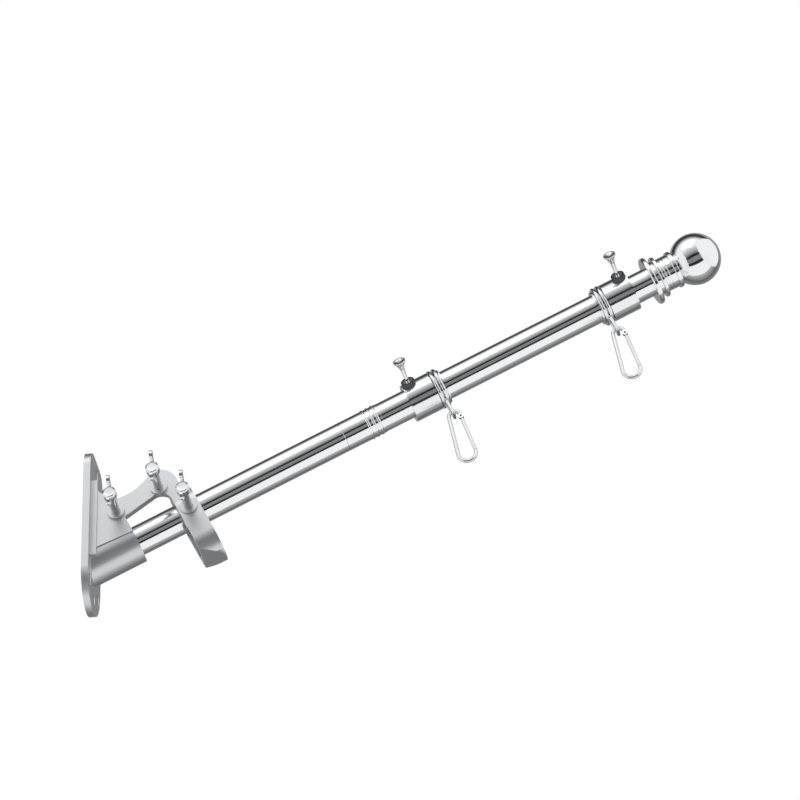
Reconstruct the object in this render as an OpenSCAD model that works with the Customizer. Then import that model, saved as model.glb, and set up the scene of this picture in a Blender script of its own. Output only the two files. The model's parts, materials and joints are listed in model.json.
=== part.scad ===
/* [Pole] */
// Rise of the pole above the horizontal, in degrees
pole_angle = 26.5; // [24:0.5:29]
// Outside diameter of the lower tube and of the ferrule
lower_tube_d = 26; // [25.6:0.1:27]
// Outside diameter of the upper tube
upper_tube_d = 25.4; // [24.6:0.1:25.6]
// Wall of both tubes
tube_wall = 1.2; // [1:0.1:1.6]
// Distance of the lower tube's foot from the wall, along the pole
pole_foot = 15; // [14:0.5:17]
// Length of the lower tube
lower_tube_len = 230; // [215:1:240]
// Length of the ferrule between the tubes
ferrule_len = 36; // [35:1:38]
// Length of the upper tube
upper_tube_len = 260; // [255:1:300]
// Length of the ferrule's plug inside each tube
plug_len = 25; // [15:1:30]
// Distance of the first rolled bead above the seam
bead_at = 23; // [20:0.5:23]
// How far a bead stands proud of the ferrule
bead_rise = 0.6; // [0.3:0.1:0.8]

/* [Wall bracket] */
// Thickness of the wall plate
plate_t = 6; // [5:0.5:8]
// Radius of the wall plate's upper corners
plate_top_r = 16; // [10:0.5:22]
// Radius of the wall plate's round lower end, half its width
plate_low_r = 30; // [29:0.5:33]
// Height of the plate's top above the pole's axis at the wall
plate_top_z = 100; // [96:1:110]
// Depth of the lower end's centre below the pole's axis at the wall
plate_low_z = 15; // [14:1:18]
// Diameter of the screw holes in the wall plate
plate_hole_d = 6; // [4.5:0.5:6.5]
// Distance of the socket's mouth from the wall, along the pole
socket_mouth = 47; // [45:1:51]
// Thickness of the flat arm
arm_t = 6.5; // [5.5:0.5:7.5]
// Height of the arm's root on the wall plate
arm_root = 70; // [66:1:74]
// Start of the hoop that the pole leans in, along the pole
hoop_at = 89; // [87:0.5:90]
// Length of the hoop along the pole
hoop_len = 19; // [18:0.5:22]
// Distance between the centres of the round ends of the hoop's slot
hoop_drop = 26; // [22:1:27]
// Height of the hoop's level foot above the pole's axis at the wall
hoop_foot = 0.5; // [-1:0.5:1]
// Height of the window's top edge above the pole's axis, beside the hoop
window_top = 21.5; // [19:0.5:22]

/* [Wing screws] */
// Diameter of a wing screw's shank
wing_shank_d = 7.6; // [6:0.2:8]
// Height of the boss under a wing screw
boss_h = 2.5; // [2:0.5:3.5]
// Bare shank between boss and hub
wing_stand = 24; // [18:1:28]
// Radius of the hub
hub_r = 5.8; // [5.2:0.1:6.2]
// Reach of a wing's tip from the screw's axis
wing_reach = 14.2; // [12.5:0.1:14.2]
// Rise of a wing's tip above the hub's foot
wing_rise = 15; // [13:0.5:18]
// Thickness of a wing
wing_t = 2.6; // [2:0.1:3.4]
// Turn of the wings from the pole's direction, in degrees
wing_turn = 66; // [40:1:90]

/* [Flag rings] */
// Outside diameter of a collar
collar_d = 34; // [33:0.5:36]
// Length of a collar's thick body
collar_len = 24.5; // [22:0.5:27]
// Distance of the lower collar's plain end from the ferrule
lower_collar_gap = 27; // [25:1:35]
// Distance of the upper collar's plain end from the finial
upper_collar_gap = 17; // [13:1:26]
// Radius of the neck that the swivel ring turns on
neck_r = 14; // [13.8:0.1:14.4]
// Diameter of the swivel ring's wire
ring_wire_d = 3.4; // [2.8:0.1:3.6]
// Distance of the stirrup's bar from the pole's axis
bar_drop = 30; // [28:0.5:34]
// Diameter of the stirrup's wire
leg_d = 2.8; // [2.2:0.1:3]
// Turn of the thumbscrews round the pole from straight above, in degrees
thumb_turn = 60; // [30:1:75]
// Distance of a thumbscrew's top from the pole's axis
thumb_top = 42; // [38:0.5:46]
// Radius of a thumbscrew's dished head
thumb_r = 5.4; // [4.6:0.1:6]

/* [Snap clips] */
// Diameter of the clip's wire
clip_wire_d = 3.4; // [3:0.1:3.6]
// Radius of the wire's centre line at the eye
eye_r = 5; // [4.8:0.1:5.6]
// Radius of the wire's centre line at the bow
bow_r = 7.7; // [7:0.1:9]
// Distance between the centres of eye and bow
clip_span = 38; // [34:1:46]
// Lean of the hanging clip from plumb, in degrees
clip_lean = 16; // [6:1:24]

/* [Finial] */
// Radius of the ball
ball_r = 22.5; // [21:0.5:26]
// Radius of the finial's flange
flange_r = 21.5; // [19:0.5:24]
// Thickness of the flange
flange_t = 4.5; // [3.5:0.5:5.5]
// Radius of the finial's second ring
ring_r = 18.5; // [17:0.5:19]
// Radius of the finial's neck
finial_neck_r = 15; // [14:0.5:15.5]
// Length of the finial's base above the tube
finial_base_len = 26; // [25:0.5:30]

/* [Hidden] */
$fn = 64;
far = 300;
turn_fit = 0.08;
loose = 0.3;
lower_r = lower_tube_d / 2;
upper_r = upper_tube_d / 2;
seam = pole_foot + lower_tube_len;
ferrule_end = seam + ferrule_len;
pole_top = ferrule_end + upper_tube_len;
lower_collar_at = ferrule_end + lower_collar_gap;
upper_collar_at = pole_top - upper_collar_gap;
slot_r = lower_r + 0.5;
arm_y = slot_r + arm_t;
socket_r = arm_y - 1.2;
hoop_r = arm_y + 0.8;
pad_x = plate_t + 5;
pad_over = 1.5;
top_hole_z = plate_top_z - 12;
low_hole_z = -plate_low_z - 18;
side_hole_y = 20;
side_hole_z = -plate_low_z - 8;
boss_r = 7.5;
hub_len = 9;
// Screw places in the arm, along the pole and above its axis
screw_1 = [42.4, 23.7];
screw_2 = [hoop_at - 4.6, 26.5];
screw_3 = [hoop_at + hoop_len / 2, -4];
lug_r = 13;
hump_r = 17;
dip_r = 45;
window_corner = 10.5;
collar_r = collar_d / 2;
collar_bore = upper_r + 0.1;
wire_r = ring_wire_d / 2;
ring_line = neck_r + loose + wire_r;
ring_pitch = ring_wire_d + 0.8;
neck_len = ring_pitch + ring_wire_d + 0.9;
lip_t = 1.2;
ring_at = collar_len + neck_len / 2;
leg_r = leg_d / 2;
leg_y = 4.6;
leg_top = sqrt(ring_line * ring_line - leg_y * leg_y);
thumb_at = 6.6;
stem_r = 1.6;
clip_r = clip_wire_d / 2;
eye_drop = eye_r - clip_r - leg_r - 0.25;
clip_al = asin((bow_r - eye_r) / clip_span);
clip_left = [-cos(clip_al), sin(clip_al)];
clip_right = [cos(clip_al), sin(clip_al)];
clip_down = [sin(clip_al), -cos(clip_al)];
eye_mid = [0, -eye_drop];
bow_mid = [0, -eye_drop - clip_span];
hinge_at = eye_mid + eye_r * clip_right + 2 * clip_down;
nose_at = bow_mid + bow_r * clip_right;
hinge_r = 2.4;
lap_gap = 0.2;
rivet_r = 0.9;
gate_r = clip_r - 0.2;
gate_start = hinge_r + 0.7;
gate_len = norm(nose_at - hinge_at) - 0.5;
groove_end = flange_t + 3.5;
ring_end = groove_end + 3.5;
ball_ring_at = finial_base_len - 4;
ball_seat = ball_r - 4.1;
ball_at = pole_top + finial_base_len + ball_seat;

// A place at x and z of the row, told along the pole and square above it
function on_pole(x, z) = [x * cos(pole_angle) + z * sin(pole_angle), z * cos(pole_angle) - x * sin(pole_angle)];

// X runs up the pole and Z stands square above it
module tilted() {
    rotate([0, -pole_angle, 0]) children();
}

// A cylinder along the pole
module rod(from, to, r) {
    translate([from, 0, 0]) rotate([0, 90, 0]) cylinder(r = r, h = to - from);
}

// A ring of round wire about the pole
module wire_ring(at, line_r, r) {
    translate([at, 0, 0]) rotate([0, 90, 0]) rotate_extrude() translate([line_r, 0]) circle(r = r, $fn = 32);
}

// A round hole or pin square to the arm, on the near side
module across(place, from, to, r) {
    translate([place[0], -from, place[1]]) rotate([90, 0, 0]) cylinder(r = r, h = to - from);
}

// Outline of the wall plate: straight sides, rounded upper corners, a round lower end
module plate_outline() {
    shoulder = plate_low_r - plate_top_r;
    translate([0, -plate_low_z]) circle(plate_low_r);
    translate([-plate_low_r, -plate_low_z])
        square([2 * plate_low_r, plate_top_z - plate_top_r + plate_low_z]);
    translate([-shoulder, plate_top_z - plate_top_r - 1]) square([2 * shoulder, plate_top_r + 1]);
    for (side = [1, -1])
        translate([side * shoulder, plate_top_z - plate_top_r]) circle(plate_top_r);
}

// Screw holes with countersinks on the plate's front
module plate_holes() {
    for (p = [[0, top_hole_z], [0, low_hole_z], [side_hole_y, side_hole_z], [-side_hole_y, side_hole_z]])
        translate([-1, p[0], p[1]]) rotate([0, 90, 0]) {
            cylinder(d = plate_hole_d, h = plate_t + 2);
            translate([0, 0, plate_t - 1.5]) cylinder(d1 = plate_hole_d, d2 = plate_hole_d + 7, h = 3.5);
        }
}

// Opening between socket and hoop, seen from the side
module window_outline() {
    corner = [hoop_at - window_corner, window_top - window_corner];
    polygon([[socket_mouth, -far], [socket_mouth, window_top - 5.5], [corner[0], window_top],
        corner, [hoop_at, corner[1]], [hoop_at, -far]]);
    translate(corner) circle(window_corner);
}

// Side view of the flat arm: root on the plate, lug, dip, hump and the edge down to the hoop
module arm_outline() {
    first = [screw_1[0], screw_1[1] + lug_r];
    last = [screw_2[0], screw_2[1] + hump_r];
    chord = last - first;
    rise = sqrt(dip_r * dip_r - chord * chord / 4);
    right = screw_2[0] + hump_r;
    difference() {
        union() {
            polygon([on_pole(plate_t / 2, 4), on_pole(plate_t / 2, arm_root), first, last,
                [right, screw_2[1]], [right, 0], [socket_mouth - 1, 0]]);
            translate(screw_1) circle(lug_r);
            translate(screw_2) circle(hump_r);
        }
        intersection() {
            translate((first + last) / 2 + rise * [-chord[1], chord[0]] / norm(chord)) circle(dip_r);
            translate([first[0], 0]) square([chord[0], far]);
        }
        window_outline();
    }
}

// Hoop or its slot: a long round-ended section along the pole
module hoop_body(r, drop, lap) {
    tilted() translate([hoop_at - lap, 0, 0]) rotate([0, 90, 0]) linear_extrude(hoop_len + 2 * lap) {
        circle(r);
        translate([drop, 0]) circle(r);
        translate([0, -r]) square([drop, 2 * r]);
    }
}

module wall_bracket() {
    color("darkgray") difference() {
        union() {
            rotate([90, 0, 90]) linear_extrude(plate_t) plate_outline();
            translate([plate_t / 2, -arm_y - pad_over, 0])
                cube([pad_x - plate_t / 2, arm_t + 2 * pad_over, arm_root + pad_over]);
            intersection() {
                tilted() {
                    rod(-socket_r, socket_mouth, socket_r);
                    rotate([90, 0, 0]) translate([0, 0, slot_r]) linear_extrude(arm_t) arm_outline();
                    for (p = [screw_1, screw_2, screw_3])
                        across(p, slot_r + arm_t / 2, arm_y + boss_h, boss_r);
                }
                translate([plate_t / 2, -far, -far]) cube(2 * far);
            }
            intersection() {
                hoop_body(hoop_r, hoop_drop + 6, 0);
                translate([plate_t, -far, hoop_foot]) cube(2 * far);
            }
        }
        hoop_body(slot_r, hoop_drop, 1);
        tilted() {
            rod(pole_foot, socket_mouth + 1, lower_r + 0.25);
            for (p = [screw_1, screw_2, screw_3])
                across(p, slot_r - 4, arm_y + boss_h + 1, wing_shank_d / 2 + turn_fit);
        }
        plate_holes();
    }
}

// One wing, drawn with X outwards and Y away from the boss
module wing_outline() {
    tip_r = 3.8;
    tip = [wing_reach - tip_r, wing_rise - tip_r];
    translate(tip) circle(tip_r);
    polygon([[0, 1.5], [hub_r, 1.5], tip + tip_r * [0.9, -0.436], tip + tip_r * [-0.5, 0.866],
        [hub_r - 1, hub_len], [0, hub_len]]);
}

module wing_screw(place) {
    color("gainsboro") tilted() {
        across(place, slot_r - 0.2, arm_y + boss_h + wing_stand + 1, wing_shank_d / 2);
        translate([place[0], -arm_y - boss_h - wing_stand, place[1]]) rotate([90, 0, 0]) {
            cylinder(r1 = hub_r - 0.8, r2 = hub_r, h = 1);
            translate([0, 0, 1]) cylinder(r = hub_r, h = hub_len - 2.5);
            translate([0, 0, hub_len - 1.5]) cylinder(r1 = hub_r, r2 = hub_r - 1.5, h = 1.5);
            for (side = [0, 180])
                rotate([0, 0, wing_turn + side]) translate([0, wing_t / 2, 0])
                    rotate([90, 0, 0]) linear_extrude(wing_t) wing_outline();
        }
    }
}

module lower_tube() {
    color("lightgray") tilted() difference() {
        rod(pole_foot, seam, lower_r);
        rod(pole_foot - 1, seam + 1, lower_r - tube_wall);
    }
}

// Ferrule with rolled beads and a plug for each tube
module tube_ferrule() {
    color("lightgray") tilted() difference() {
        union() {
            rod(seam - plug_len, seam + 1, lower_r - tube_wall - 0.1);
            rod(seam, ferrule_end, lower_r);
            rod(ferrule_end - 1, ferrule_end + plug_len, upper_r - tube_wall - 0.1);
            for (i = [0:2])
                wire_ring(seam + bead_at + i * 4.6, lower_r + bead_rise - 1.3, 1.3);
        }
        rod(seam - plug_len - 1, ferrule_end + plug_len + 1, upper_r - tube_wall - 2);
    }
}

module upper_tube() {
    color("lightgray") tilted() difference() {
        rod(ferrule_end, pole_top, upper_r);
        rod(ferrule_end - 1, pole_top + 1, upper_r - tube_wall);
    }
}

// Turned base: plug, flange with rounded rim, groove, ring, neck with fine lines, ring under the ball
module finial_base() {
    plug_r = upper_r - tube_wall - 0.1;
    top = finial_base_len;
    n = finial_neck_r;
    color("lightgray") tilted() translate([pole_top, 0, 0]) rotate([0, 90, 0]) rotate_extrude()
        polygon([[0, -plug_len], [plug_r, -plug_len], [plug_r, 0], [flange_r - 1, 0], [flange_r, 1],
            [flange_r, flange_t - 1], [flange_r - 1, flange_t], [n + 0.5, flange_t],
            [n + 0.5, groove_end], [ring_r - 0.8, groove_end], [ring_r, groove_end + 0.8],
            [ring_r, ring_end - 0.8], [ring_r - 0.8, ring_end], [n, ring_end],
            [n, ring_end + 2], [n - 0.4, ring_end + 2.4], [n, ring_end + 2.8],
            [n, ring_end + 5], [n - 0.4, ring_end + 5.4], [n, ring_end + 5.8],
            [n, ball_ring_at], [n + 1, ball_ring_at], [n + 1.5, ball_ring_at + 0.5],
            [n + 1.5, top - 0.5], [n + 1, top], [0, top]]);
}

module finial_ball() {
    color("lightgray") tilted() translate([ball_at, 0, 0]) rotate([0, 90, 0]) difference() {
        sphere(ball_r, $fn = 96);
        translate([0, 0, -ball_seat - ball_r]) cylinder(r = 2 * ball_r, h = ball_r);
    }
}

// Stands a flag ring on the pole; the upper one is turned end for end
module on_collar(upper) {
    tilted() translate([upper ? upper_collar_at : lower_collar_at, 0, 0])
        mirror([upper ? 1 : 0, 0, 0]) children();
}

module on_thumb() {
    translate([thumb_at, 0, 0]) rotate([thumb_turn, 0, 0]) children();
}

module collar(upper) {
    end = collar_len + neck_len;
    color("silver") on_collar(upper) difference() {
        union() {
            rod(0, collar_len, collar_r);
            rod(collar_len - 1, end, neck_r);
            rod(end, end + lip_t, neck_r + 1.3);
            on_thumb() cylinder(r = 4.6, h = collar_r + 3.5);
        }
        rod(-1, end + lip_t + 1, collar_bore);
        on_thumb() cylinder(r = stem_r + turn_fit, h = thumb_top);
    }
}

// Screw turned like a tee: plain stem, slender flare, dished head
module thumb_screw(upper) {
    color("gainsboro") on_collar(upper) on_thumb() rotate_extrude()
        polygon([[0, upper_r + loose], [stem_r, upper_r + loose], [stem_r, thumb_top - 14],
            [stem_r + 0.5, thumb_top - 8], [thumb_r - 1.6, thumb_top - 3.4], [thumb_r, thumb_top - 1.2],
            [thumb_r, thumb_top], [thumb_r - 0.8, thumb_top], [0, thumb_top - 2]]);
}

// Double wire ring with a stirrup that a clip hangs in
module swivel_ring(upper) {
    color("silver") on_collar(upper) translate([ring_at, 0, 0]) {
        for (side = [1, -1])
            wire_ring(side * ring_pitch / 2, ring_line, wire_r);
        for (side = [1, -1])
            translate([0, side * leg_y, 0]) {
                translate([0, 0, -leg_top]) rod(-ring_pitch / 2, ring_pitch / 2, leg_r);
                translate([0, 0, -bar_drop]) cylinder(r = leg_r, h = bar_drop - leg_top);
                translate([0, 0, -bar_drop]) sphere(leg_r, $fn = 32);
            }
        translate([0, leg_y, -bar_drop]) rotate([90, 0, 0]) cylinder(r = leg_r, h = 2 * leg_y);
    }
}

// Hangs a clip on its stirrup: origin on the bar, Z up the clip, X across it
module on_bar(upper) {
    at = upper ? upper_collar_at - ring_at : lower_collar_at + ring_at;
    tilted() translate([at, 0, -bar_drop]) rotate([0, pole_angle - clip_lean, 0]) children();
}

// A straight wire between two places of the clip
module wire(from, to, r) {
    translate([from[0], 0, from[1]]) rotate([0, atan2(to[0] - from[0], to[1] - from[1]), 0])
        cylinder(r = r, h = norm(to - from));
}

// A whole bend of the clip's wire, and the wedge above it where eye and bow are parted
module bend(mid, line_r) {
    translate([mid[0], 0, mid[1]]) rotate([90, 0, 0])
        rotate_extrude() translate([line_r, 0]) circle(clip_r, $fn = 32);
}

module wedge(mid) {
    translate([mid[0], 10, mid[1]]) rotate([90, 0, 0]) linear_extrude(20)
        polygon([[0, 0], 40 * clip_right, [40, 40], [-40, 40], 40 * clip_left]);
}

// Round piece on the gate's hinge, between two heights across the clip
module on_hinge(low, high, r) {
    translate([hinge_at[0], high, hinge_at[1]]) rotate([90, 0, 0]) cylinder(r = r, h = high - low);
}

module clip(upper) {
    lap = 0.3 * [sin(clip_al), cos(clip_al)];
    color("silver") on_bar(upper) difference() {
        union() {
            intersection() {
                bend(eye_mid, eye_r);
                wedge(eye_mid);
            }
            wire(eye_mid + eye_r * clip_left + lap, bow_mid + bow_r * clip_left - lap, clip_r - 0.03);
            difference() {
                bend(bow_mid, bow_r);
                wedge(bow_mid);
            }
            on_hinge(-clip_r, -lap_gap, hinge_r);
        }
        on_hinge(-lap_gap, clip_r + 1, hinge_r + 0.4);
        on_hinge(-clip_r - 1, clip_r + 1, rivet_r + 0.05);
    }
}

// Sprung gate: a flat tongue beside the clip's lug and a round bar down to the nose
module clip_gate(upper) {
    color("silver") on_bar(upper) difference() {
        union() {
            on_hinge(lap_gap, clip_r - 0.2, hinge_r);
            translate([hinge_at[0], lap_gap, hinge_at[1]]) rotate([0, 180 - clip_al, 0])
                translate([-gate_r + 0.2, 0, 0])
                    cube([2 * gate_r - 0.4, clip_r - 0.4 - lap_gap, gate_start + 1]);
            wire(hinge_at + gate_start * clip_down, hinge_at + gate_len * clip_down, gate_r);
        }
        on_hinge(-clip_r - 1, clip_r + 1, rivet_r + 0.05);
    }
}

module gate_rivet(upper) {
    color("gray") on_bar(upper) on_hinge(-clip_r - 0.3, clip_r + 0.3, rivet_r);
}

wall_bracket();
wing_screw(screw_1);  // wing_screw_1
wing_screw(screw_2);  // wing_screw_2
wing_screw(screw_3);  // wing_screw_3
lower_tube();
tube_ferrule();
upper_tube();
finial_base();
finial_ball();
collar(false);  // lower_collar
thumb_screw(false);  // lower_thumb_screw
swivel_ring(false);  // lower_swivel_ring
clip(false);  // lower_clip
clip_gate(false);  // lower_clip_gate
gate_rivet(false);  // lower_gate_rivet
collar(true);  // upper_collar
thumb_screw(true);  // upper_thumb_screw
swivel_ring(true);  // upper_swivel_ring
clip(true);  // upper_clip
clip_gate(true);  // upper_clip_gate
gate_rivet(true);  // upper_gate_rivet
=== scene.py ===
# %% [markdown]
# # A flagpole and its bracket in bright metal
# The CAD part gives every shape and every joint. This lesson gives it looks: soft edges on the
# castings, heads on the wall screws, metal finishes, and a studio that bright metal can mirror.

# %% Load the part
import json
import math

import bpy
from mathutils import Matrix, Vector

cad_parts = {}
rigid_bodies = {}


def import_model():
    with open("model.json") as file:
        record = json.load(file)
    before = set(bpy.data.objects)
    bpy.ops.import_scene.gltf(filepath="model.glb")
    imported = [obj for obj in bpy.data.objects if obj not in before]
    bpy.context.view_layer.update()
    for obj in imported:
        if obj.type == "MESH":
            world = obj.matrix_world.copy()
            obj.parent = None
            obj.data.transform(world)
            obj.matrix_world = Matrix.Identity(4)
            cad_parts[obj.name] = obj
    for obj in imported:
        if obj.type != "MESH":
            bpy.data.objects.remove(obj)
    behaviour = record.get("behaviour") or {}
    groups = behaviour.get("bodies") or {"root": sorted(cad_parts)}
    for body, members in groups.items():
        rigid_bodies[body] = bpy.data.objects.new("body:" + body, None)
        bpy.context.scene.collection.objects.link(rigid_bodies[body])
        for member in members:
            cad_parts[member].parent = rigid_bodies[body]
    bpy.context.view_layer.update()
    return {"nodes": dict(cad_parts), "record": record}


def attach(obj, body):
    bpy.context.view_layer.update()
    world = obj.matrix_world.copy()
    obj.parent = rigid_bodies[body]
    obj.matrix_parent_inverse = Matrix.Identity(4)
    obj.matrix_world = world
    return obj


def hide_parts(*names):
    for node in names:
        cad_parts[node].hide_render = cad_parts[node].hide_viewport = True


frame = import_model()
nodes = frame["nodes"]
print("nodes:", len(nodes))

# %% [markdown]
# ## Places that the steps share
# The pole rises at 26.5 degrees above level. A place on it is told by the distance along the pole,
# the distance sideways and the height square above its axis, all in millimetres. Blender counts in
# metres. Typing each place in metres would do too, but this way it is read off the CAD source.

# %% Places on the pole
POLE_ANGLE = math.radians(26.5)
POLE_TOP = 541
MM_IN_A_METRE = 1000


def on_pole(along, side, above):
    x = along * math.cos(POLE_ANGLE) - above * math.sin(POLE_ANGLE)
    z = along * math.sin(POLE_ANGLE) + above * math.cos(POLE_ANGLE)
    return Vector((x, side, z)) / MM_IN_A_METRE


print("pole top at", [round(v, 3) for v in on_pole(POLE_TOP, 0, 0)])

# %% [markdown]
# ## Bodies and finishes from the record
# The part's record says which body a piece moves with and which finish it has. Both could be typed
# again here, but reading them keeps this file and the part in step.

# %% Bodies and slots
SLOTS = {part["node"]: part["material_slot"] for part in frame["record"]["subparts"]}


def body_of(node):
    for name, members in frame["record"]["behaviour"]["bodies"].items():
        if node in members:
            return name


print("finishes in the record:", sorted(set(SLOTS.values())))

# %% [markdown]
# ## Small helpers
# Each operator works on all that is selected, so a piece is picked alone before it is changed.
# Cast and turned metal has small round edges, so one helper bevels the sharp edges of any piece.
# Weighted normals then keep its large faces flat next to the round bevels.

# %% Helpers
SHARP_EDGE = math.radians(40)
SMOOTH_EDGE = math.radians(35)
LARGE_FACES_LEAD = 100


def pick(obj):
    bpy.ops.object.select_all(action="DESELECT")
    obj.select_set(True)
    bpy.context.view_layer.objects.active = obj


def settle(obj):
    pick(obj)
    bpy.ops.object.transform_apply(location=True, rotation=True, scale=True)


def add_modifier(obj, kind, **settings):
    pick(obj)
    modifier = obj.modifiers.new(kind.lower(), kind)
    for key, value in settings.items():
        setattr(modifier, key, value)
    bpy.ops.object.modifier_apply(modifier=modifier.name)


def round_edges(obj, width, segments=2):
    add_modifier(obj, "BEVEL", width=width, segments=segments, limit_method="ANGLE",
                 angle_limit=SHARP_EDGE)
    pick(obj)
    bpy.ops.object.shade_smooth_by_angle(angle=SMOOTH_EDGE)
    add_modifier(obj, "WEIGHTED_NORMAL", keep_sharp=True, weight=LARGE_FACES_LEAD)


print("edges sharper than", round(math.degrees(SHARP_EDGE)), "degrees get a bevel")

# %% [markdown]
# ## Soft edges
# Cast and turned metal never has a knife edge, and the thin bright lines in the photo are light on
# such edges. A bevel could be drawn in the CAD source, but there it would cost exact faces. Here a
# copy of each piece has its loose triangles merged into flat faces, gets a small bevel, and stands
# for the CAD node. Where the lower tube meets the ferrule, two such bevels make the fine seam that
# shows in the photo.

# %% Bevelled copies
WELD = 0.000005
FLAT = math.radians(0.5)
BEVELS = {
    "wall_bracket": (0.0011, 3),
    "wing_screw_1": (0.0004, 2),
    "wing_screw_2": (0.0004, 2),
    "wing_screw_3": (0.0004, 2),
    "lower_collar": (0.0005, 2),
    "lower_thumb_screw": (0.0002, 2),
    "upper_collar": (0.0005, 2),
    "upper_thumb_screw": (0.0002, 2),
    "finial_base": (0.0003, 2),
    "lower_tube": (0.0005, 2),
    "tube_ferrule": (0.0005, 2),
}


def softened(node, width, segments):
    pick(nodes[node])
    bpy.ops.object.duplicate()
    copy = bpy.context.active_object
    copy.name = node + "_soft"
    bpy.ops.object.parent_clear(type="CLEAR_KEEP_TRANSFORM")
    settle(copy)
    bpy.ops.object.mode_set(mode="EDIT")
    bpy.ops.mesh.select_all(action="SELECT")
    bpy.ops.mesh.remove_doubles(threshold=WELD)
    bpy.ops.mesh.dissolve_limited(angle_limit=FLAT)
    bpy.ops.mesh.normals_make_consistent(inside=False)
    bpy.ops.object.mode_set(mode="OBJECT")
    round_edges(copy, width, segments)
    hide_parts(node)
    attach(copy, body_of(node))
    return copy


soft = {node: softened(node, *bevel) for node, bevel in BEVELS.items()}
print("softened:", len(soft))

# %% [markdown]
# ## Small pieces that repeat
# Caps, screw heads and knurled rings come in sets. Each is modelled once at the origin and then
# copied. Copies that share one mesh would save memory, but here each gets its own, with its place
# applied, because each one moves with its own body.

# %% Selecting and copying
FACING = 0.9
small = {}


def select_faces(obj, wanted):
    pick(obj)
    bpy.ops.object.mode_set(mode="EDIT")
    bpy.ops.mesh.select_mode(type="FACE")
    bpy.ops.mesh.select_all(action="DESELECT")
    bpy.ops.object.mode_set(mode="OBJECT")
    for face in obj.data.polygons:
        face.select = wanted(face)
    bpy.ops.object.mode_set(mode="EDIT")


def finish_model(obj, bevel):
    bpy.ops.object.mode_set(mode="OBJECT")
    round_edges(obj, bevel)


def copies(model, slot, places):
    for name, (body, place) in places.items():
        pick(model)
        bpy.ops.object.duplicate()
        copy = bpy.context.active_object
        copy.name = name
        copy.matrix_world = place
        settle(copy)
        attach(copy, body)
        small[name] = (copy, slot)
    bpy.data.objects.remove(model)
    print("made", list(places))


# %% [markdown]
# ## Caps of the wing screws
# Each hub ends in a shallow dish with a raised rim. A torus would give the rim alone. Here a short
# cylinder has its front inset and pushed back, which leaves rim and dish in one piece. The dish
# stays a little in front of the hub's own face, because two faces in one plane would flicker.

# %% Hub caps
SLOT_R, ARM_T, BOSS_H, BARE_SHANK, HUB_LENGTH = 13.5, 6.5, 2.5, 24, 9
HUB_FACE = -(SLOT_R + ARM_T + BOSS_H + BARE_SHANK + HUB_LENGTH)
SCREWS = {1: (42.4, 23.7), 2: (84.4, 26.5), 3: (98.5, -4)}
CAP_R, CAP_T, CAP_RIM, CAP_DISH, CAP_BEVEL = 0.0044, 0.0014, 0.0011, 0.0004, 0.00025
ROUND = 40
bpy.ops.mesh.primitive_cylinder_add(
    vertices=ROUND, radius=CAP_R, depth=CAP_T, rotation=(math.pi / 2, 0, 0))
cap = bpy.context.active_object
settle(cap)
select_faces(cap, lambda face: face.normal.y < -FACING)
bpy.ops.mesh.inset(thickness=CAP_RIM)
bpy.ops.transform.translate(value=(0, CAP_DISH, 0))
finish_model(cap, CAP_BEVEL)
cap_places = {}
for number, (along, above) in SCREWS.items():
    place = Matrix.Translation(on_pole(along, HUB_FACE, above))
    cap_places[f"hub_cap_{number}"] = (f"wing_screw_{number}", place)
copies(cap, "bright", cap_places)

# %% [markdown]
# ## Heads of the wall screws
# A countersunk head fills each hole of the wall plate. A flat disc would do from afar. Here a cone
# has its top inset and pushed in, which leaves a round recess for the driver.

# %% Wall screw heads
PLATE_FRONT, HEAD_SUNK = 0.006, 0.0016
HEAD_R, HEAD_NECK_R, HEAD_T, HEAD_BEVEL = 0.0049, 0.0029, 0.0022, 0.00015
HEAD_RIM, RECESS = 0.0028, 0.0012
HEADS = {"top": (0, 88), "bottom": (0, -33), "near": (-20, -23), "far": (20, -23)}
bpy.ops.mesh.primitive_cone_add(
    vertices=ROUND, radius1=HEAD_NECK_R, radius2=HEAD_R, depth=HEAD_T,
    rotation=(0, math.pi / 2, 0))
head = bpy.context.active_object
settle(head)
select_faces(head, lambda face: face.normal.x > FACING)
bpy.ops.mesh.inset(thickness=HEAD_RIM)
bpy.ops.transform.translate(value=(-RECESS, 0, 0))
finish_model(head, HEAD_BEVEL)
head_places = {}
for name, (side, height) in HEADS.items():
    middle = (PLATE_FRONT - HEAD_SUNK, side / MM_IN_A_METRE, height / MM_IN_A_METRE)
    head_places[f"wall_screw_{name}"] = ("pole", Matrix.Translation(middle))
copies(head, "bright", head_places)

# %% [markdown]
# ## Knurled rings under the thumbscrews
# A dark knurled ring sits on the boss of each collar. A row of small cubes would do for the knurl,
# but would leave them loose on the surface. Here a cylinder gets its hole by an inset of both ends
# and a bridge between them, and every second side face is inset and pushed out.

# %% The ring's blank
RING_R, RING_H, BOSS_R, KNURLS = 0.0056, 0.0052, 0.0045, 16
bpy.ops.mesh.primitive_cylinder_add(vertices=2 * KNURLS, radius=RING_R, depth=RING_H)
knurled = bpy.context.active_object
select_faces(knurled, lambda face: abs(face.normal.z) > FACING)
bpy.ops.mesh.inset(thickness=RING_R - BOSS_R)
bpy.ops.mesh.bridge_edge_loops()
bpy.ops.object.mode_set(mode="OBJECT")
print("blank with", len(knurled.data.polygons), "faces")

# %% Knurled rings
KNURL_GAP, KNURL_RISE, KNURL_BEVEL = 0.0001, 0.0004, 0.0001


def on_knurl(face):
    upright = abs(face.normal.z) < 1 - FACING
    outside = face.center.xy.length > (RING_R + BOSS_R) / 2
    half_turns = math.atan2(face.center.y, face.center.x) / math.pi
    step = int(half_turns * KNURLS + 2 * KNURLS)
    return upright and outside and step % 2 == 0


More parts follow.
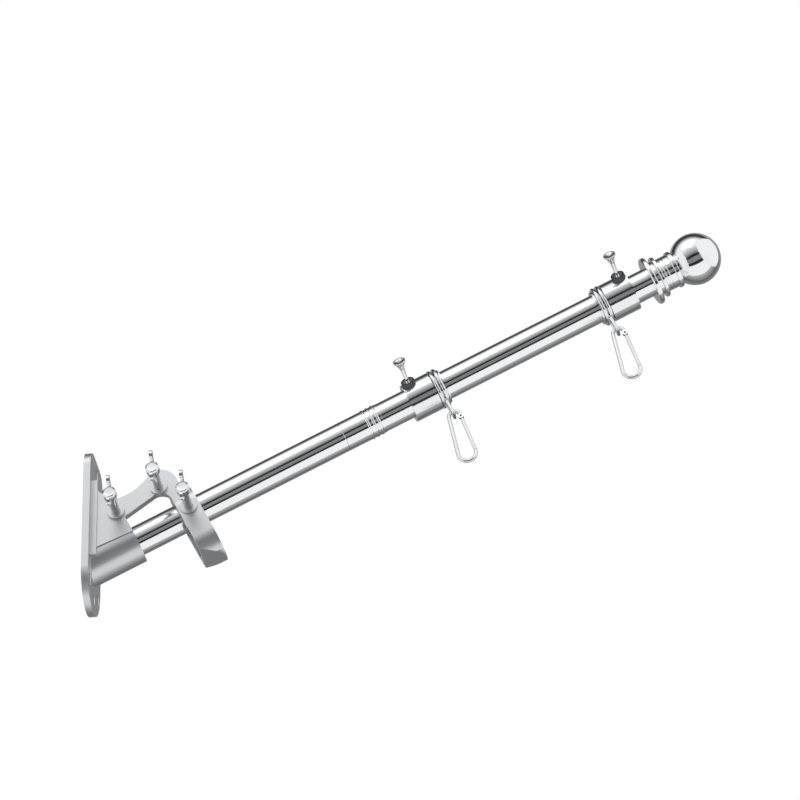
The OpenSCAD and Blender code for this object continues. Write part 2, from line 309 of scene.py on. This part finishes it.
select_faces(knurled, on_knurl)
bpy.ops.mesh.inset(thickness=KNURL_GAP, depth=KNURL_RISE, use_individual=True)
finish_model(knurled, KNURL_BEVEL)

# %% [markdown]
# Each ring stands on the axis of its thumbscrew, which leans 60 degrees to the near side. The ring
# could be turned by three angles, but one turn from upright to that axis is plainer.

# %% Rings in place
THUMB_TURN = math.radians(60)
RING_FOOT = 15.8
THUMBS = {"lower": 314.6, "upper": 517.4}
thumb_axis = on_pole(0, -math.sin(THUMB_TURN), math.cos(THUMB_TURN)).normalized()
lean = Vector((0, 0, 1)).rotation_difference(thumb_axis).to_matrix().to_4x4()
ring_out = thumb_axis * (RING_FOOT / MM_IN_A_METRE + RING_H / 2)
ring_places = {}
for level, along in THUMBS.items():
    place = Matrix.Translation(on_pole(along, 0, 0) + ring_out) @ lean
    ring_places[f"{level}_knurled_ring"] = (f"{level}_collar", place)
copies(knurled, "rivet", ring_places)

# %% [markdown]
# ## One shader group for all the metals
# Every metal here has a faint unevenness. Each could have its own noise, but one group makes it for
# all, and gives out a roughness and a normal, so a metal sets only how strong the effect is.

# %% Grain group
NOISE_DETAIL = 3
BUMP_DISTANCE = 0.0003
grain = bpy.data.node_groups.new("metal_grain", "ShaderNodeTree")
for name in ("Scale", "Smooth", "Rough", "Height"):
    grain.interface.new_socket(name, in_out="INPUT", socket_type="NodeSocketFloat")
grain.interface.new_socket("Roughness", in_out="OUTPUT", socket_type="NodeSocketFloat")
grain.interface.new_socket("Normal", in_out="OUTPUT", socket_type="NodeSocketVector")
enter = grain.nodes.new("NodeGroupInput")
leave = grain.nodes.new("NodeGroupOutput")
where = grain.nodes.new("ShaderNodeTexCoord")
noise = grain.nodes.new("ShaderNodeTexNoise")
noise.inputs["Detail"].default_value = NOISE_DETAIL
spread = grain.nodes.new("ShaderNodeMapRange")
bump = grain.nodes.new("ShaderNodeBump")
bump.inputs["Distance"].default_value = BUMP_DISTANCE
link = grain.links.new
link(where.outputs["Object"], noise.inputs["Vector"])
link(enter.outputs["Scale"], noise.inputs["Scale"])
link(noise.outputs["Fac"], spread.inputs["Value"])
link(enter.outputs["Smooth"], spread.inputs["To Min"])
link(enter.outputs["Rough"], spread.inputs["To Max"])
link(enter.outputs["Height"], bump.inputs["Strength"])
link(noise.outputs["Fac"], bump.inputs["Height"])
link(spread.outputs["Result"], leave.inputs["Roughness"])
link(bump.outputs["Normal"], leave.inputs["Normal"])
print("group:", grain.name)

# %% [markdown]
# ## The finishes
# The bracket is satin cast aluminium. Tubes and finial are polished, collars a little less. The
# screws, rings and clips are bright plated, and the rivets and knurled rings are dark. Painted grey
# would be simpler, but only a full metal mirrors the studio as the real one does.

# %% Metals
def metal(name, colour, **grain_settings):
    mat = bpy.data.materials.new(name)
    mat.use_nodes = True
    tree = mat.node_tree
    shader = tree.nodes["Principled BSDF"]
    shader.inputs["Base Color"].default_value = (*colour, 1)
    shader.inputs["Metallic"].default_value = 1
    group = tree.nodes.new("ShaderNodeGroup")
    group.node_tree = grain
    for socket, value in grain_settings.items():
        group.inputs[socket].default_value = value
    tree.links.new(group.outputs["Roughness"], shader.inputs["Roughness"])
    tree.links.new(group.outputs["Normal"], shader.inputs["Normal"])
    return mat


FINISHES = {
    "cast": metal("cast", (0.66, 0.67, 0.68), Scale=300, Smooth=0.34, Rough=0.42, Height=0.003),
    "polished": metal(
        "polished", (0.86, 0.865, 0.875), Scale=60, Smooth=0.07, Rough=0.11, Height=0),
    "collar": metal(
        "collar", (0.83, 0.84, 0.85), Scale=120, Smooth=0.09, Rough=0.13, Height=0.003),
    "bright": metal("bright", (0.78, 0.79, 0.80), Scale=120, Smooth=0.08, Rough=0.14, Height=0),
    "rivet": metal("rivet", (0.09, 0.09, 0.095), Scale=200, Smooth=0.25, Rough=0.35, Height=0.02),
}
print("finishes:", list(FINISHES))

# %% [markdown]
# A piece with a soft copy shows only that copy, so the finish goes on the copy and not on the CAD
# node under it.

# %% Paint
def paint(obj, slot):
    obj.data.materials.clear()
    obj.data.materials.append(FINISHES[slot])


shown = {**nodes, **soft}
for node, obj in shown.items():
    paint(obj, SLOTS[node])
for obj, slot in small.values():
    paint(obj, slot)
print("painted:", len(shown) + len(small))

# %% [markdown]
# ## Camera
# The photo shows no perspective: upright edges stay parallel and the tubes keep their width. So the
# camera stands far off, 30 degrees below the pole and 8 degrees towards its tip, with a long lens.
# An orthographic camera would do as well. The picture's right, its up and the way to the camera
# are its three axes.

# %% Camera
RIGHT = Vector((0.99027, 0.13917, 0))
UP = Vector((0.0696, -0.4951, 0.8660))
TOWARD = Vector((0.12053, -0.85760, -0.5))
PIXEL = 0.0008495
PICTURE_WIDTH = 800
CENTRE_RIGHT, CENTRE_UP = 312.5, 166.7
FAR = 6.0
SEES_TO = 40
cam_data = bpy.data.cameras.new("camera")
cam = bpy.data.objects.new("camera", cam_data)
bpy.context.scene.collection.objects.link(cam)
cam_place = (RIGHT * CENTRE_RIGHT + UP * CENTRE_UP) * PIXEL + TOWARD * FAR
cam_turn = Matrix((RIGHT, UP, TOWARD)).transposed().to_4x4()
cam.matrix_world = Matrix.Translation(cam_place) @ cam_turn
cam_data.lens = FAR / (PIXEL * PICTURE_WIDTH) * cam_data.sensor_width
cam_data.clip_end = SEES_TO
bpy.context.scene.camera = cam
print("camera at", [round(v, 3) for v in cam.location], "lens", round(cam_data.lens))

# %% [markdown]
# ## Studio
# Bright metal shows only what stands round it. Long cards stand round the pole, and each glows from
# one brightness at its lower edge to another at its upper edge, so that the tubes get soft bands:
# two dark lines in the middle with grey between, white above and below, and dark edges. Plain white
# and black cards would be simpler, but they make hard stripes. The camera sees none of the cards.

# %% Glow
HALF_CARD = 0.5


def glowing(name, low, high):
    mat = bpy.data.materials.new(name)
    mat.use_nodes = True
    tree = mat.node_tree
    shader = tree.nodes["Principled BSDF"]
    shader.inputs["Base Color"].default_value = (0, 0, 0, 1)
    shader.inputs["Specular IOR Level"].default_value = 0
    shader.inputs["Emission Color"].default_value = (1, 1, 1, 1)
    spot = tree.nodes.new("ShaderNodeTexCoord")
    split = tree.nodes.new("ShaderNodeSeparateXYZ")
    blend = tree.nodes.new("ShaderNodeMapRange")
    blend.inputs["From Min"].default_value = -HALF_CARD
    blend.inputs["From Max"].default_value = HALF_CARD
    blend.inputs["To Min"].default_value = low
    blend.inputs["To Max"].default_value = high
    tree.links.new(spot.outputs["Object"], split.inputs["Vector"])
    tree.links.new(split.outputs["Y"], blend.inputs["Value"])
    tree.links.new(blend.outputs["Result"], shader.inputs["Emission Strength"])
    return mat


# %% [markdown]
# A card is told by the angles round the pole between which it stands, from the camera upwards, by
# its distance, and by its two brightnesses.

# %% Cards
POLE_RISE_SEEN = 0.4686
MIDDLE = on_pole(300, 0, 0)
ALONG = (RIGHT * math.cos(POLE_RISE_SEEN) + UP * math.sin(POLE_RISE_SEEN)).normalized()
ACROSS = TOWARD.cross(ALONG).normalized()
CARD_LENGTH = 3.0
CARDS = {
    "card_behind": (148, 236, 1.0, 0.42, 0.14),
    "card_upper_dark": (122, 149, 1.2, 0.05, 0.05),
    "card_upper_blend": (98, 123, 1.3, 1.0, 0.05),
    "card_shade": (22, 66, 2.4, 0.12, 1.0),
    "card_upper_line": (11, 23, 2.3, 0.02, 0.02),
    "card_middle": (-11, 11.5, 2.2, 0.24, 0.24),
    "card_lower_line": (-25, -10.5, 2.1, 0.02, 0.02),
    "card_below": (-81, -24.5, 1.6, 1.0, 1.0),
    "card_lower_edge": (-124, -80, 1.4, 0.1, 0.5),
}


def card(name, first, last, distance, low, high):
    bpy.ops.mesh.primitive_plane_add(size=2 * HALF_CARD)
    obj = bpy.context.active_object
    obj.name = name
    turn = math.radians((first + last) / 2)
    width = 2 * distance * math.tan(math.radians((last - first) / 2))
    out = TOWARD * math.cos(turn) + ACROSS * math.sin(turn)
    side = out.cross(ALONG)
    turned = Matrix((ALONG, side, ALONG.cross(side))).transposed().to_4x4()
    place = Matrix.Translation(MIDDLE + out * distance)
    obj.matrix_world = place @ turned @ Matrix.Diagonal((CARD_LENGTH, width, 1, 1))
    obj.data.materials.append(glowing(name, low, high))
    obj.visible_camera = False
    obj.visible_shadow = False


for name, settings in CARDS.items():
    card(name, *settings)
print("cards round the pole:", len(CARDS))

# %% [markdown]
# ## Floor
# The floor lies far below the pole, so no shadow falls near it. It is plain, pale and very wide. A
# curved backdrop would hide its edge too, but could stand in the way of other views.

# %% Floor
FLOOR_SIZE = 60
FLOOR_PLACE = (0.3, 0, -3.5)
FLOOR_GREY, FLOOR_ROUGHNESS = 0.97, 0.9
bpy.ops.mesh.primitive_plane_add(size=FLOOR_SIZE, location=FLOOR_PLACE)
floor = bpy.context.active_object
floor.name = "floor"
pale = bpy.data.materials.new("floor")
pale.use_nodes = True
pale_inputs = pale.node_tree.nodes["Principled BSDF"].inputs
pale_inputs["Base Color"].default_value = (FLOOR_GREY, FLOOR_GREY, FLOOR_GREY, 1)
pale_inputs["Roughness"].default_value = FLOOR_ROUGHNESS
pale_inputs["Specular IOR Level"].default_value = 0
floor.data.materials.append(pale)
print("floor at height", FLOOR_PLACE[2])

# %% [markdown]
# ## Light
# A plain white world lights the part evenly, and a large weak lamp adds a soft shine from above. A
# strong lamp alone would leave bright metal mostly black.

# %% World and lamp
KEY_POWER, KEY_SIZE = 4, 1.6
KEY_OFFSET = Vector((-0.5, -1.2, 1.5))
world = bpy.data.worlds.new("studio")
bpy.context.scene.world = world
world.use_nodes = True
back = world.node_tree.nodes["Background"]
back.inputs["Color"].default_value = (1, 1, 1, 1)
back.inputs["Strength"].default_value = 1

key_data = bpy.data.lights.new("key", "AREA")
key_data.energy = KEY_POWER
key_data.size = KEY_SIZE
key = bpy.data.objects.new("key", key_data)
bpy.context.scene.collection.objects.link(key)
key_place = MIDDLE + KEY_OFFSET
key_turn = (MIDDLE - key_place).to_track_quat("-Z", "Y").to_matrix().to_4x4()
key.matrix_world = Matrix.Translation(key_place) @ key_turn
bpy.context.scene.view_settings.view_transform = "Standard"
print("studio ready")
